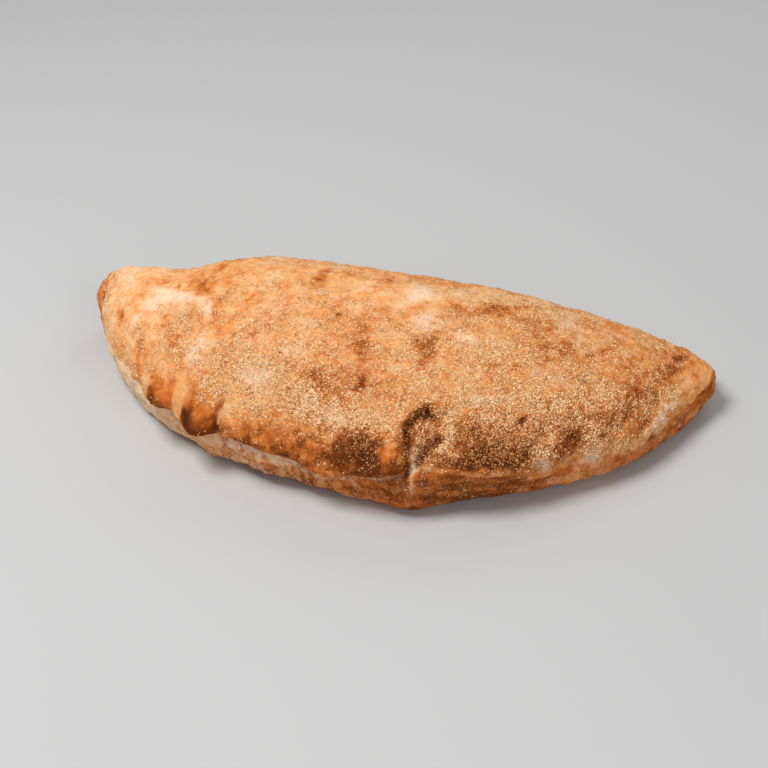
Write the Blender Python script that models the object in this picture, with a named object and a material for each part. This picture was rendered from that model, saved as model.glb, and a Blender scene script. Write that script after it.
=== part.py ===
"""A baked calzone: one folded half-moon of dough, plump in the middle, lying on its flat base.

Metres, +Z up, with the origin at the middle of the base.  +X runs along the back fold towards the
beak-shaped right tip, and -Y is the front, where the rounded edge of the dough is tucked under.
The solid is a loft: a closed cross-section at each station along X, then a hem, swellings and
pleats that move the surface along its own normal.
"""

import math

import bmesh
import bpy
import numpy as np

MM = 0.001

# Overall size: the finished solid fills exactly this box.
LENGTH = 313 * MM
WIDTH = 143.5 * MM
HEIGHT = 61 * MM

# Plan outline.  It reaches out to both sides of a line between the tips, straight along X but for
# the left tip, which bends forward.  The front has a corner, sharp at the base and blunt higher up.
TIP_LINE_Y = 54 * MM
LEFT_TIP_BEND = 11 * MM
LEFT_TIP_BEND_POWER = 6
FRONT_REACH = 124 * MM
BACK_REACH = 15 * MM
LEFT_FRONT = dict(taper=0.19, fullness=4.0, roundness=0.84)
RIGHT_FRONT = dict(taper=0.50, fullness=5.6, roundness=0.73)
LEFT_BACK = dict(taper=0.0, fullness=4.0, roundness=0.84)
RIGHT_BACK = dict(taper=0.0, fullness=4.9, roundness=0.42)
CORNER_X = 29 * MM
CORNER_BLUNT_LOW = 0.03
CORNER_BLUNT_HIGH = 0.30

# Side profile.  The crown rises from both tips to its highest point, and the underside is flat but
# for a quarter round up to each tip, which starts at this share of the way from the crown.
CROWN_X = -22 * MM
LEFT_TIP_Z = 23.5 * MM
RIGHT_TIP_Z = 14.5 * MM
LEFT_CROWN = dict(taper=0.0, fullness=2.3, roundness=0.94)
RIGHT_CROWN = dict(taper=0.0, fullness=2.7, roundness=1.01)
LEFT_LIFT_START = 0.78
RIGHT_LIFT_START = 0.93

# Both tips are blunt: as thick, at least, as a ball of these radii in plan and in height.
LEFT_BALL = dict(plan=11 * MM, height=9 * MM)
RIGHT_BALL = dict(plan=7 * MM, height=5 * MM)

# Cross-section: where it is widest, as a share of its height, how square its shoulders are, and
# how far the base stands in from the widest place.
FRONT_WIDE_LEVEL = 0.18
BACK_WIDE_LEVEL = 0.27
FRONT_SHOULDER = 2.25
BACK_SHOULDER = 2.35
FRONT_UNDERCUT = 10 * MM
BACK_UNDERCUT = 13 * MM
CROWN_SHIFT = 3 * MM

# Mesh density: stations along X, closer at the tips, and points along each part of a section,
# closer low down at the front, where the hem and the pleats are.
STATIONS = 92
TIP_CROWDING = 0.55
UNDER_STEPS = 4
FRONT_STEPS = 18
FRONT_CROWDING = 1.25
BACK_STEPS = 12

# Where the front is tucked under, the hem below the seam stands back from the lobes above it.  The
# seam rises over the corner, and the step fades out along the right side.
SEAM_LEVEL = 13 * MM
SEAM_RISE = 9 * MM
SEAM_RISE_X = 42 * MM
SEAM_RISE_REACH = 28 * MM
SEAM_HALF_WIDTH = 3 * MM
HEM_SETBACK = 2.2 * MM
HEM_FADE_X = (60 * MM, 100 * MM)
HEM_FADED = 0.3

# Swellings (height > 0) and hollows (height < 0): centre, reach along X, Y and Z, height, in mm.
SWELLINGS = {
    "left knob": ((-137, 38, 36), (14, 24, 14), 3.7),
    "neck behind the knob": ((-108, 34, 50), (14, 30, 20), -3.7),
    "rise to the crown": ((-70, 18, 58), (24, 30, 18), 1.7),
    "first front bulge": ((-93, -34, 22), (11, 12, 11), 3.5),
    "second front bulge": ((-69, -47, 27), (9, 12, 12), 3.5),
    "pleat between bulges": ((-80, -43, 20), (4, 12, 12), -3.5),
    "pleat after bulges": ((-60, -50, 28), (4, 12, 12), -3.0),
    "left brow": ((4, -64, 32), (22, 14, 14), 3.0),
    "pinched hollow": ((34, -62, 36), (9, 12, 11), -5.0),
    "right brow": ((62, -57, 32), (22, 14, 14), 2.5),
    "beak": ((147, 46, 18), (14, 16, 12), 3.7),
}

# Slow unevenness of the baked dough: waves along X and Y.
WAVE_HEIGHT = 0.6 * MM
WAVE_LENGTHS = (61 * MM, 43 * MM)
WAVE_SLANT = 0.7

# Points this close to the ground stay on it.
GROUND_MARGIN = 0.5 * MM

CRUST_COLOUR = (0.56, 0.27, 0.10, 1.0)
CRUST_ROUGHNESS = 0.75


def clear_scene():
    for old in list(bpy.data.objects):
        bpy.data.objects.remove(old, do_unlink=True)


def share_to_tip(x, start):
    """How far x lies from start towards the tip on its side, 0 to 1."""
    if x < start:
        return (start - x) / (start + LENGTH / 2)
    return (x - start) / (LENGTH / 2 - start)


def reach(t, taper, fullness, roundness):
    """Share of the full reach at t: 1 at the fullest place (t = 0), 0 at the tip (t = 1)."""
    t = min(max(t, 0.0), 1.0)
    return (1 - taper * t) * (1 - t**fullness) ** roundness


def blunt_corner(t, blunt):
    """t with its sharp start rounded off, still 0 at 0 and 1 at 1."""
    return (math.hypot(t, blunt) - blunt) / (math.hypot(1, blunt) - blunt)


def blunt_tip(size, x, direction):
    """size, but no less than the tip's ball at x, with a smooth change from one to the other."""
    radius = (LEFT_BALL if x < 0 else RIGHT_BALL)[direction]
    inward = min(LENGTH / 2 - abs(x), radius)
    ball = math.sqrt(max(0.0, radius**2 - (radius - inward) ** 2))
    return (size**4 + ball**4) ** 0.25


def tip_line_y(x):
    if x > CROWN_X:
        return TIP_LINE_Y
    return TIP_LINE_Y - LEFT_TIP_BEND * share_to_tip(x, CROWN_X) ** LEFT_TIP_BEND_POWER


def front_edge(x, blunt=CORNER_BLUNT_LOW):
    side = LEFT_FRONT if x < CORNER_X else RIGHT_FRONT
    t = blunt_corner(share_to_tip(x, CORNER_X), blunt)
    return tip_line_y(x) - blunt_tip(FRONT_REACH * reach(t, **side), x, "plan")


def back_edge(x):
    side = LEFT_BACK if x < 0 else RIGHT_BACK
    return tip_line_y(x) + blunt_tip(BACK_REACH * reach(share_to_tip(x, 0.0), **side), x, "plan")


def crown_z(x):
    tip_z, side = (LEFT_TIP_Z, LEFT_CROWN) if x < CROWN_X else (RIGHT_TIP_Z, RIGHT_CROWN)
    rise = (HEIGHT - tip_z) * reach(share_to_tip(x, CROWN_X), **side)
    return tip_z + blunt_tip(rise, x, "height")


def floor_z(x):
    tip_z, start = (LEFT_TIP_Z, LEFT_LIFT_START) if x < CROWN_X else (RIGHT_TIP_Z, RIGHT_LIFT_START)
    t = max(0.0, (share_to_tip(x, CROWN_X) - start) / (1 - start))
    return tip_z * (1 - math.sqrt(1 - t * t))


def station_places():
    """X of each station, closer together towards the tips, without the tips themselves."""
    places = []
    for i in range(1, STATIONS):
        s = i / STATIONS
        even = 2 * s - 1
        crowded = -math.cos(math.pi * s)
        places.append(LENGTH / 2 * (even + TIP_CROWDING * (crowded - even)))
    return places


def quarter_arc(steps, squareness, crowding=1.0):
    """(out, up) shares along a quarter superellipse from (1, 0), without its end at (0, 1)."""
    angles = [math.pi / 2 * (i / steps) ** crowding for i in range(steps)]
    power = 2 / squareness
    return [(math.cos(angle) ** power, math.sin(angle) ** power) for angle in angles]


def under_arc(edge, undercut, low, wide):
    """(y, z) points from the base out and up to the widest place, without that place."""
    shares = quarter_arc(UNDER_STEPS, 2.0)
    return [(edge + undercut * (1 - up), wide - (wide - low) * out) for out, up in shares]


def front_arc(x, crown_y, wide):
    """(y, z) points from the front's widest place up to the crown, without the crown."""
    points = []
    for out, up in quarter_arc(FRONT_STEPS, FRONT_SHOULDER, FRONT_CROWDING):
        blunt = CORNER_BLUNT_LOW + (CORNER_BLUNT_HIGH - CORNER_BLUNT_LOW) * up
        y = crown_y + (front_edge(x, blunt) - crown_y) * out
        points.append((y, wide + (crown_z(x) - wide) * up))
    return points


def back_arc(x, crown_y, wide):
    """(y, z) points from the back's widest place up to the crown, without the crown."""
    shares = quarter_arc(BACK_STEPS, BACK_SHOULDER)
    out_by, up_by = back_edge(x) - crown_y, crown_z(x) - wide
    return [(crown_y + out_by * out, wide + up_by * up) for out, up in shares]


def cross_section(x):
    """Closed loop of (x, y, z) points: from the base up the front, over the crown, down the back."""
    low, crown, front, back = floor_z(x), crown_z(x), front_edge(x), back_edge(x)
    front_wide = low + FRONT_WIDE_LEVEL * (crown - low)
    back_wide = low + BACK_WIDE_LEVEL * (crown - low)
    narrow = min(1.0, (back - front) / (WIDTH / 2))
    crown_y = (back + front_edge(x, CORNER_BLUNT_HIGH)) / 2 + CROWN_SHIFT * narrow
    front_half = under_arc(front, FRONT_UNDERCUT * narrow, low, front_wide)
    front_half += front_arc(x, crown_y, front_wide)
    back_half = under_arc(back, -BACK_UNDERCUT * narrow, low, back_wide)
    back_half += back_arc(x, crown_y, back_wide)
    loop = front_half + [(crown_y, crown)] + back_half[::-1]
    return [(x, y, z) for y, z in loop]


def surface_normals(grid):
    """Outward unit normals of the loft's points, by differences along and across it."""
    along = np.gradient(grid, axis=0)
    around = np.roll(grid, -1, axis=1) - np.roll(grid, 1, axis=1)
    normals = np.cross(along, around)
    return normals / np.linalg.norm(normals, axis=2, keepdims=True)


def hem_lift(grid):
    """How far the hem below the front seam stands back, as a lift that is never above zero."""
    x, y, z = grid[..., 0], grid[..., 1], grid[..., 2]
    seam = SEAM_LEVEL + SEAM_RISE * np.exp(-(((x - SEAM_RISE_X) / SEAM_RISE_REACH) ** 2))
    below = 0.5 - 0.5 * np.tanh((z - seam) / SEAM_HALF_WIDTH)
    crown_y = grid[np.arange(len(grid)), z.argmax(axis=1), 1]
    front = np.clip((crown_y[:, None] - y) / (WIDTH / 4), 0, 1)
    strength = np.interp(x, HEM_FADE_X, (1.0, HEM_FADED))
    return -HEM_SETBACK * strength * below * front


def swelling_lift(grid):
    lift = np.zeros(grid.shape[:2])
    for centre, spread, height in SWELLINGS.values():
        offset = (grid - np.array(centre) * MM) / (np.array(spread) * MM)
        lift += height * MM * np.exp(-(offset**2).sum(axis=2))
    return lift


def wave_lift(grid):
    phase_x = 2 * math.pi * grid[..., 0] / WAVE_LENGTHS[0]
    phase_y = 2 * math.pi * grid[..., 1] / WAVE_LENGTHS[1]
    return WAVE_HEIGHT * np.sin(phase_x + np.sin(phase_y)) * np.cos(phase_y - WAVE_SLANT * phase_x)


def swell(grid):
    """Moves the loft along its normals by hem, swellings and waves, but for its flat base."""
    lift = hem_lift(grid) + swelling_lift(grid) + wave_lift(grid)
    lift[grid[..., 2] < GROUND_MARGIN] = 0.0
    return grid + surface_normals(grid) * lift[..., None]


def fit_box(points):
    """Stretches the points by the last per cent or so to fill the named box, base at z = 0."""
    low, high = points.min(axis=0), points.max(axis=0)
    size = np.array((LENGTH, WIDTH, HEIGHT))
    middle_base = np.array(((low[0] + high[0]) / 2, (low[1] + high[1]) / 2, low[2]))
    return (points - middle_base) * size / (high - low)


def tip_points():
    left, right = -LENGTH / 2, LENGTH / 2
    return np.array(((left, tip_line_y(left), LEFT_TIP_Z), (right, tip_line_y(right), RIGHT_TIP_Z)))


def build_body(name, material):
    """Skins the loft with quads, closes it to a point at each tip, and splits it into triangles."""
    grid = swell(np.array([cross_section(x) for x in station_places()]))
    rows, columns = grid.shape[:2]
    points = fit_box(np.concatenate((grid.reshape(-1, 3), tip_points())))
    mesh = bmesh.new()
    verts = [mesh.verts.new(point) for point in points]
    left_tip, right_tip = verts[-2], verts[-1]
    rings = [verts[i * columns : (i + 1) * columns] for i in range(rows)]
    for ring, following in zip(rings, rings[1:]):
        for j in range(columns):
            k = (j + 1) % columns
            mesh.faces.new((ring[j], ring[k], following[k], following[j]))
    for j in range(columns):
        k = (j + 1) % columns
        mesh.faces.new((left_tip, rings[0][k], rings[0][j]))
        mesh.faces.new((right_tip, rings[-1][j], rings[-1][k]))
    bmesh.ops.recalc_face_normals(mesh, faces=mesh.faces)
    bmesh.ops.triangulate(mesh, faces=mesh.faces)
    data = bpy.data.meshes.new(name)
    mesh.to_mesh(data)
    mesh.free()
    data.shade_smooth()
    data.materials.append(material)
    body = bpy.data.objects.new(name, data)
    bpy.context.scene.collection.objects.link(body)


def crust_material():
    material = bpy.data.materials.new("baked_crust")
    material.use_nodes = True
    shader = material.node_tree.nodes["Principled BSDF"]
    shader.inputs["Base Color"].default_value = CRUST_COLOUR
    shader.inputs["Roughness"].default_value = CRUST_ROUGHNESS
    shader.inputs["Metallic"].default_value = 0.0
    return material


def main():
    clear_scene()
    build_body("calzone", crust_material())


main()
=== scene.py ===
"""The looks of a baked calzone: a fine crust mesh over the CAD solid, its meal and crumbs, and the studio.

Metres, in the CAD's frame.  Places on the crust are given in millimetres as (along, over): along is X,
and over is the distance round the girth, from the front edge of the base up the front and on over the top.
"""

import math

import bpy
import numpy as np
from mathutils import Matrix, Vector
from mathutils.bvhtree import BVHTree


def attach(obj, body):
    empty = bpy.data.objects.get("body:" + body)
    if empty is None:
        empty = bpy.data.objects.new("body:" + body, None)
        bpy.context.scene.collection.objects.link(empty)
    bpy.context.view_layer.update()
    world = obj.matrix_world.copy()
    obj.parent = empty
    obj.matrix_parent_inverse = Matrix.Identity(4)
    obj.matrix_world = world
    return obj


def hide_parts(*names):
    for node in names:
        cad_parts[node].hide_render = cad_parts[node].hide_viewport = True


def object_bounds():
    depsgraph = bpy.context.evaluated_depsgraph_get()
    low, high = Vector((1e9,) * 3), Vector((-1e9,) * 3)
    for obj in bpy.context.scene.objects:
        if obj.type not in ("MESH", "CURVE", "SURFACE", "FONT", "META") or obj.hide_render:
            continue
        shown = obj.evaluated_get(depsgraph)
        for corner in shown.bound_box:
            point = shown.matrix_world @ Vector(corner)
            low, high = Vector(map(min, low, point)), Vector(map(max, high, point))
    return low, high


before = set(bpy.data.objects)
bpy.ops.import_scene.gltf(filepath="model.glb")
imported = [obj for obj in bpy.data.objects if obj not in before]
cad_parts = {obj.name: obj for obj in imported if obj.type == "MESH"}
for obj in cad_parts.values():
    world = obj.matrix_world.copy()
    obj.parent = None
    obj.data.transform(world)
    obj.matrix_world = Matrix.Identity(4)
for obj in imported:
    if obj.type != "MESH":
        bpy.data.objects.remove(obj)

CAD_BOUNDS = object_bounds()
MM = 0.001

# The crust is a grid: rings round the calzone at stations along X, each starting under the middle
# and running forward, up the front, over the crown and down the back.
STATIONS = 372
COLUMNS = 254
RAYS_PER_RING = 720
TIP_CROWDING = 0.5
SLICE_REACH = 2.5 * MM
TIP_REACH = 4 * MM
UNDER_DENSITY = 0.42
FRONT_DENSITY = 1.5
BACK_DENSITY = 0.75
UNDER_HEIGHT = 0.02
FRONT_HEIGHT = 0.75
SMOOTHING_ROUNDS = 26
SMOOTHING = (0.6, -0.63)
BASE_EDGE_RISE = 2 * MM
# The right end's rings are rounded from here on:
ROUNDED_FROM = (92, 128)
ROUNDING = 0.6
ROUNDING_ROUNDS = 220

# The seam where the top lies over the tucked hem: (along, over).
SEAM = [
    (-150, 20), (-121, 25), (-113, 24.3), (-105, 24.3), (-101, 26.5), (-90.5, 26.5), (-88.5, 25),
    (-86, 22.5), (-82.5, 20.5), (-78, 21.5), (-73, 23.5), (-69, 24.5), (-64, 24.3), (-61, 22.5), (-56, 24),
    (-45, 23.8), (-30, 22.3), (-18, 20.5), (-8, 19.5), (0, 20), (5, 22.3), (14, 24.5), (24, 26.3), (29, 28),
    (33, 26.6), (45, 26), (55, 24.8), (65, 23.5), (75, 21.5), (84, 19.5), (110, 18), (150, 16),
]
# How far the top's lip stands out over the seam and the hem stands back under it: (along, mm).
LIP = [
    (-130, 0), (-112, 0.7), (-103, 1.5), (-97, 2.1), (-90, 2), (-86, 2.4), (-78, 2.6), (-70, 2.4),
    (-62, 1.8), (-50, 2.2), (-30, 1.9), (0, 1.8), (24, 1.6), (30, 0.4), (36, 0.45), (70, 0.5), (90, 0.1),
    (110, 0),
]
SETBACK = [
    (-130, 0), (-112, 0.3), (-98, 1.3), (-85, 1.8), (-50, 1.8), (-20, 1.6), (0, 1.3), (30, 0.7), (45, 0.5),
    (70, 0.3), (95, 0),
]
SEAM_BLUR = 1.2
DEEP_CREASE = 1.0
LIP_PLACE = 3.0
LIP_REACH = 5.5
LIP_ROUNDING = (-1.0, 2.2)
SETBACK_REACH = 8
# How far the front edge of the base stands back: (along, mm).
TUCK = [
    (-150, 0), (-128, 0), (-118, -1.8), (-108, -1.8), (-98, -0.5), (-90, 0), (-70, 0.3), (-60, 1.6),
    (-45, 2.5), (-20, 2.2), (-8, 0.8), (0, 0), (25, 0), (29.5, -1), (33, 0), (40, 1.5), (80, 1.5),
    (120, 1.5), (140, 1.6), (152, 0.8), (157, 0),
]
TUCK_HEIGHT = 9
# Small parts of the outline, moved: place, reach, and how far, all in mm.
MOVES = [
    ((154.5, 54, 22), 8, (-2, -1.2, -2.6)), ((151.5, 60, 17), 6, (-1.6, -2, -1.4)),
    ((128, 64, 24), 12, (0, 0.5, 1)), ((-62, 54, 49), 34, (0, 0, 1.6)),
    ((38, 54, 47), 12, (0, 0.2, 0.7)), ((155, 40, 11), 4.5, (2.2, -0.3, 0)),
    ((-150, 40, 30), 6, (1.3, 0, -0.8)), ((-145, 47, 35), 9, (-0.3, 0.3, 2.2)),
    ((60, 57, 42), 14, (0, 0.2, 1.1)), ((106, 56, 33), 12, (0, 0.2, 1.2)),
    ((-155, 35, 25), 5, (-1.4, 0, 0)),
]

# The pinch at the front corner: an arch on its left and top, and a lapped edge on its right.
# Inside the arch it is darkened, partly scorch and partly painted shade under the arch's wall.
ARCH = [(26.5, 29), (25, 35.8), (23.6, 41.9), (23, 46.2), (24.6, 50.5), (28, 54.5), (32, 56), (36.5, 54)]
LAP = [(32, 30), (35, 34), (38.5, 38), (42, 42), (42, 46), (39.5, 49.5), (36, 52)]
PINCH_DEPTH = 2.6
PINCH_PLACE = (32, 43)
PINCH_REACH = 30
PINCH_FADE = 11
# Distances over which it sets in beside each.
ARCH_EDGE = (-0.8, 3.2)
LAP_EDGE = (-0.8, 2.6)
# Its rims: height, distance outside the curve, and half-width.
ARCH_RIM = (1.4, 2.4, 3.0)
LAP_RIM = (1.1, 2.2, 2.8)
RIM_REACH = 17
PINCH_LINE = [(28.4, 37), (29.2, 32), (29.9, 27), (30.2, 21), (30, 10)]

FIRST_CREASE = [(-91, 46), (-89.5, 38), (-88.8, 31), (-87, 24), (-84.5, 17)]
SECOND_CREASE = [(-60.5, 46), (-61, 39), (-63.2, 32), (-62.5, 26), (-60, 19)]
KNOB_FOLD = [
    (-133, 29), (-124, 43), (-117, 60), (-112, 74), (-107, 82), (-100, 87), (-94, 88), (-87, 85.5),
    (-81, 80),
]
# Creases: curve, depth, half-width, and how far its left side rises over its right, in mm.
CREASES = {
    "first bulge from second": (FIRST_CREASE, 2.6, 1.5, 0.6),
    "second bulge from lobe": (SECOND_CREASE, 3, 1.5, 0.6),
    "pleat 1": ([(-132, 22), (-130, 28), (-128.5, 35)], 0.7, 0.8, 0.2),
    "pleat 2": ([(-127, 20), (-125, 27), (-123.5, 33)], 0.8, 0.8, 0.3),
    "pleat 3": ([(-122, 18), (-121, 24), (-119, 30)], 0.8, 0.9, 0.4),
    "fold's foot": ([(-112, 60), (-107, 71), (-101, 79), (-93, 81.5), (-86, 77), (-81, 68)], 0.5, 1.6, 0.1),
    "knob fold": ([(-136, 45), (-133, 52), (-126, 66), (-119, 80)], 0.5, 1.4, 0.1),
    "small wrinkle": ([(-109, 90), (-106, 92), (-105, 96)], 0.7, 1, 0.2),
    "back line 1": ([(-99, 99), (-92, 103), (-84, 105), (-72, 109)], 0.35, 0.9, 0.15),
    "back line 2": ([(-96, 108), (-86, 112), (-74, 118)], 0.3, 0.9, 0.1),
    "back line 3": ([(-93, 128), (-88, 123), (-85, 118)], 0.5, 1.1, 0.1),
    "hem fold": ([(-56, 21), (-50, 22), (-42, 21.5), (-30, 20.3), (-16, 20)], 0.5, 0.8, 0.3),
    "right groove": ([(91, 73), (96, 77), (103, 80), (110, 84)], 0.7, 1.5, 0.2),
    "corner notch": ([(29.4, 10), (29.8, 1)], 1.2, 0.9, 0),
    "pinch line left": ([(26.4, 35), (27.2, 30), (28, 25)], 0.5, 1, 0),
}
# Ridges: curve, height, half-width, in mm.
RIDGES = {
    "fold behind the knob": (KNOB_FOLD, 1.3, 3),
    "knob wrinkle 1": ([(-128, 57), (-122, 70), (-113, 83), (-104, 92)], 0.3, 1.4),
    "knob wrinkle 2": ([(-134, 60), (-129, 72), (-121, 86), (-110, 97)], 0.4, 1.6),
    "pinch line": (PINCH_LINE, 0.6, 0.8),
}
# Swells and hollows, as soft spots with amounts in mm.
SWELLS = [
    (-97, 35, 7, 9, 2.8), (-75, 34, 9, 14, 3.4, 10), (-51, 34, 9, 12, 2), (-149, 21, 1.8, 10, -1.3, 18),
    (-132, 43, 1.8, 5, -0.7), (-104, 60, 7, 13, -0.9, 15), (-80, 57, 9, 5, -0.4), (-105, 96, 3, 3, 0.6),
    (-97, 106, 7, 9, -0.5), (-33, 132, 4, 7, -0.7, 8), (-42, 121, 4, 3, -0.5, 30), (5, 36, 10, 9, 0.5),
    (18, 37, 2.5, 8, 0.4), (-9, 33, 2, 2, 0.6), (26, 86, 4, 9, -0.6, -20), (22, 105, 7, 7, 0.5),
    (-10, 92, 8, 8, -0.4), (30, 60, 7, 5, 0.5), (60, 36, 16, 9, 0.8), (83.5, 32, 2.5, 8, -0.6),
    (95, 33, 8, 8, 0.4), (73.3, 48, 1.4, 1.8, -0.8), (60, 126, 8, 7, -0.5, -20), (133, 23, 7, 4, 0.5, -25),
    (137, 62, 3, 12, -0.6, -12), (107, 92, 5, 5, 0.5),
]

# Unevenness of the baked skin: gradient noise of these swings, in mm.
LUMPS = [(16, 0.8), (7.5, 0.75), (3.8, 0.62), (1.9, 0.32)]
UNDER_LUMPS = 0.35
BLISTERS = 320
BLISTER_REACH = (1.4, 4.0)
BLISTER_HEIGHT = (0.15, 0.55)
# Fine folds, as noise drawn out into streaks: (lean, swing across, swing along, seed).
KNOB_STREAKS = (20, 3.6, 24, 63)
KNOB_FROM = (98, 118)
KNOB_HEIGHT = 0.32
HEM_STREAKS = (-22, 1.2, 9, 62)
HEM_FILM_STREAKS = (-22, 1.6, 12, 64)
LOBE_STREAKS = (0, 1.3, 6, 101)
# The hem is more streaked to the left:
STREAKED_FROM = (-20, 10)
HEM_FOLDS = (14, 14, 2.6)
# How far noise bends the curves on the crust, for its relief and for its colour, in mm.
RELIEF_BEND = 0.9
COLOUR_BEND = 1.8

# The crust's colour by how far it is baked, as sRGB: from raw dough to char.
BAKED_COLOURS = [
    (0, (0.98, 0.86, 0.7)),
    (0.2, (0.97, 0.78, 0.57)),
    (0.4, (0.95, 0.69, 0.44)),
    (0.55, (0.91, 0.59, 0.33)),
    (0.7, (0.81, 0.45, 0.19)),
    (0.85, (0.57, 0.28, 0.09)),
    (1, (0.32, 0.15, 0.05)),
]
FLOUR_COLOUR = (0.98, 0.84, 0.71)
MOST_BAKED = (0.80, 0.20)
PLAIN_BAKED = 0.45
LEFT_END_BAKED = 0.35
LEFT_END = (75, 115)

# Soft spots are (along, over, reach along, reach over, amount), and a lean where there is one: the lean,
# in degrees, turns a spot's length from over towards along.
# Where it is baked more or less than the rest:
BAKED = [
    # broad zones, most of them paler
    (-136, 34, 8, 12, -0.08), (-52, 118, 17, 13, -0.14), (-13, 127, 14, 9.5, -0.15),
    (15, 133, 9.5, 9, -0.16), (22, 107, 8, 6, -0.08), (-70, 105, 8, 8, -0.05), (-51, 58, 10.5, 10.5, -0.14),
    (-57, 40, 7.5, 7.5, -0.16), (80, 120, 13, 5.5, -0.12), (-104, 60, 10, 12, -0.06), (-79, 62, 8, 8, -0.03),
    # (60, 140) and (-45, 150) pale the top's back edge: partly a painted rim highlight.
    (60, 140, 55, 9, -0.06), (-45, 150, 40, 9, -0.06), (127, 44, 9, 12, 0.14), (-99, 83, 7, 5, -0.1),
    # the left end
    (-149, 21, 1.8, 11, 0.34, 18), (-151, 29, 4, 7, 0.22), (-131.5, 42, 3, 4.5, 0.3),
    (-130, 27, 4, 2.5, 0.18), (-125, 31, 1.8, 4, 0.2, 20), (-127, 58, 4, 5, 0.12, 20),
    (-123, 75, 3, 11, 0.14, 22), (-115.5, 88, 2.5, 4, 0.18, 25), (-106, 92, 2.2, 2.2, 0.25),
    (-109, 91, 2, 1.5, 0.15), (-97, 109, 6, 9, 0.24, -10), (-92, 98, 7, 6, 0.2), (-84, 92, 8, 5, 0.14, 30),
    (-88, 123, 2.5, 6, 0.18, -30), (-81, 118, 8, 10, 0.08), (-75, 108, 6, 9, 0.06),
    (-104, 65, 3.5, 6, 0.16, 30), (-95, 60, 8, 11, 0.14), (-84, 74, 1.8, 6, 0.18, -28),
    (-113, 42, 6, 9, 0.2), (-113, 28, 9, 4, 0.14),
    # the bulges and the front lobe; the thin spots at over 26.5 to 29.5 darken their lower edges, partly
    # browning, partly painted shade under the lip
    (-97, 35, 7, 7, 0.38), (-95, 29.5, 8, 2.5, 0.3), (-102, 33, 3.5, 6, -0.3), (-97, 40, 4, 4, -0.08),
    (-85, 36, 3, 9, 0.02), (-77, 42, 5, 11, 0.12, 10), (-72, 35, 9, 6, 0.2), (-70, 44, 7, 6, 0.05),
    (-70.5, 27, 7.5, 2.8, 0.4), (-75.6, 30.6, 3, 3.2, 0.6), (-81, 35, 3.5, 6, -0.26),
    (-84, 28, 2.5, 8, -0.04), (-64.5, 62, 2.5, 8, 0.14, -30), (-64, 97, 5, 4, 0.12), (-60, 126, 2, 2, 0.25),
    (-62, 120, 3, 5, 0.1, -20), (-30, 31, 38, 8, 0.28), (-30, 26.5, 36, 2.5, 0.1), (-58, 38, 3, 5, -0.08),
    (-8.5, 33, 2, 2, -0.15),
    # the middle
    (-34.5, 136, 2.5, 8, 0.28, 8), (-33, 129, 3, 3, 0.2), (-41, 122, 4, 3.5, 0.22, 30),
    (-46, 114, 3.5, 4, 0.12), (-46, 141, 1.8, 5, 0.25, -15), (-3, 146, 1.5, 5, 0.2), (-25, 126, 12, 5, 0.06),
    (5, 115, 7, 6, 0.04), (-14, 129, 1.8, 9, -0.16, 28), (-19, 124, 1.6, 8, 0.14, 28),
    (-8, 128, 1.6, 8, 0.12, 28), (-4, 134, 1.5, 7, -0.1, 28), (-12, 96, 6, 7, 0.08), (-5, 93, 5, 10, 0.12),
    (-4, 86, 5, 6, 0.28), (-18, 102.5, 1, 1.4, 0.4), (-16.5, 99, 1, 1, 0.3), (-25.5, 93.5, 1.2, 1, 0.35),
    (-38, 70.5, 1, 0.8, 0.35), (25, 93, 5, 7, 0.26), (28, 86, 4, 7, 0.18, -20), (25, 80, 2.5, 3, 0.2),
    (1, 66, 5, 5, 0.38), (-17, 47, 12, 6, 0.1), (-27, 64, 10, 6, 0.04), (-8, 62, 14, 8, 0.1),
    (-20, 64, 10, 5, 0.1), (-15, 58, 8, 5, 0.06), (25, 110, 4, 3, 0.22), (33, 123, 3, 5, 0.22, -20),
    (33, 115, 3, 2, 0.2), (38, 122, 3, 6, 0.15, -20), (42, 118, 3, 4, 0.12), (40, 105, 1.3, 5, 0.22, 70),
    # the right half's top
    (48, 125, 5, 4, 0.15), (57, 128, 9, 6, 0.2, -20), (61, 129, 3, 6, 0.1, 10), (66, 118, 8, 6, 0.16),
    (70, 103, 7, 8, 0.12), (68, 95, 5, 4, 0.12), (77, 90, 6, 4, 0.14, -30), (86, 85, 7, 6, 0.1),
    (79, 79, 6, 3, 0.14), (95, 76, 5, 3, 0.12, 60), (102, 81, 1.6, 9, 0.14, 62), (93, 105, 2, 12, 0.12, -10),
    (105, 100, 4, 6, 0.06), (113, 93, 2, 5, 0.1), (83, 117, 1, 3, 0.3, -30), (51, 132, 5, 4, 0.12),
    (54, 55, 3, 4, 0.08), (115, 68, 3, 8, 0.12, -5), (119, 55, 3, 6, 0.1), (128, 70, 2.5, 7, 0.12, -10),
    (118, 48, 16, 18, 0.13),
    # the brows and the pinch
    (5, 37, 12, 10, 0.46), (13, 32, 7, 6, 0.24), (0, 31, 13, 5, 0.14), (12, 41, 5, 4, 0.08),
    (22, 30, 5, 4, 0.18), (19, 38.5, 2.4, 8, -0.06), (31, 53.5, 4.5, 3.2, 0.36), (37, 57, 5, 3, 0.12),
    (37.5, 38.5, 3, 4.5, 0.28, 30), (33, 45, 6, 6, 0.15), (60, 32, 20, 6, 0.34), (62, 40, 19, 8, 0.24),
    (52, 47, 9, 6, 0.22), (51, 38, 1.5, 6, 0.12), (76, 31, 4.5, 5, 0.2), (73, 24, 6, 4, 0.18),
    (94, 29.5, 5, 5.5, 0.27), (104, 33, 16, 7, 0.2), (90, 44, 32, 12, 0.14), (73.3, 48, 1.5, 1.9, 0.8),
    (83.5, 33, 2, 6, -0.05),
    # the beak
    (138.5, 55, 6.5, 6, 0.07, 30), (136, 57, 3, 13, 0.1, -12), (138, 46, 5, 12, 0.16, -15),
    (147, 52, 4, 6, -0.06), (147, 25, 3, 12, 0.1, -8), (143, 13, 4, 5, 0.18), (125, 26, 4, 4, 0.14),
    (155.5, 4, 2.5, 7, 0.32),
]
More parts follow.
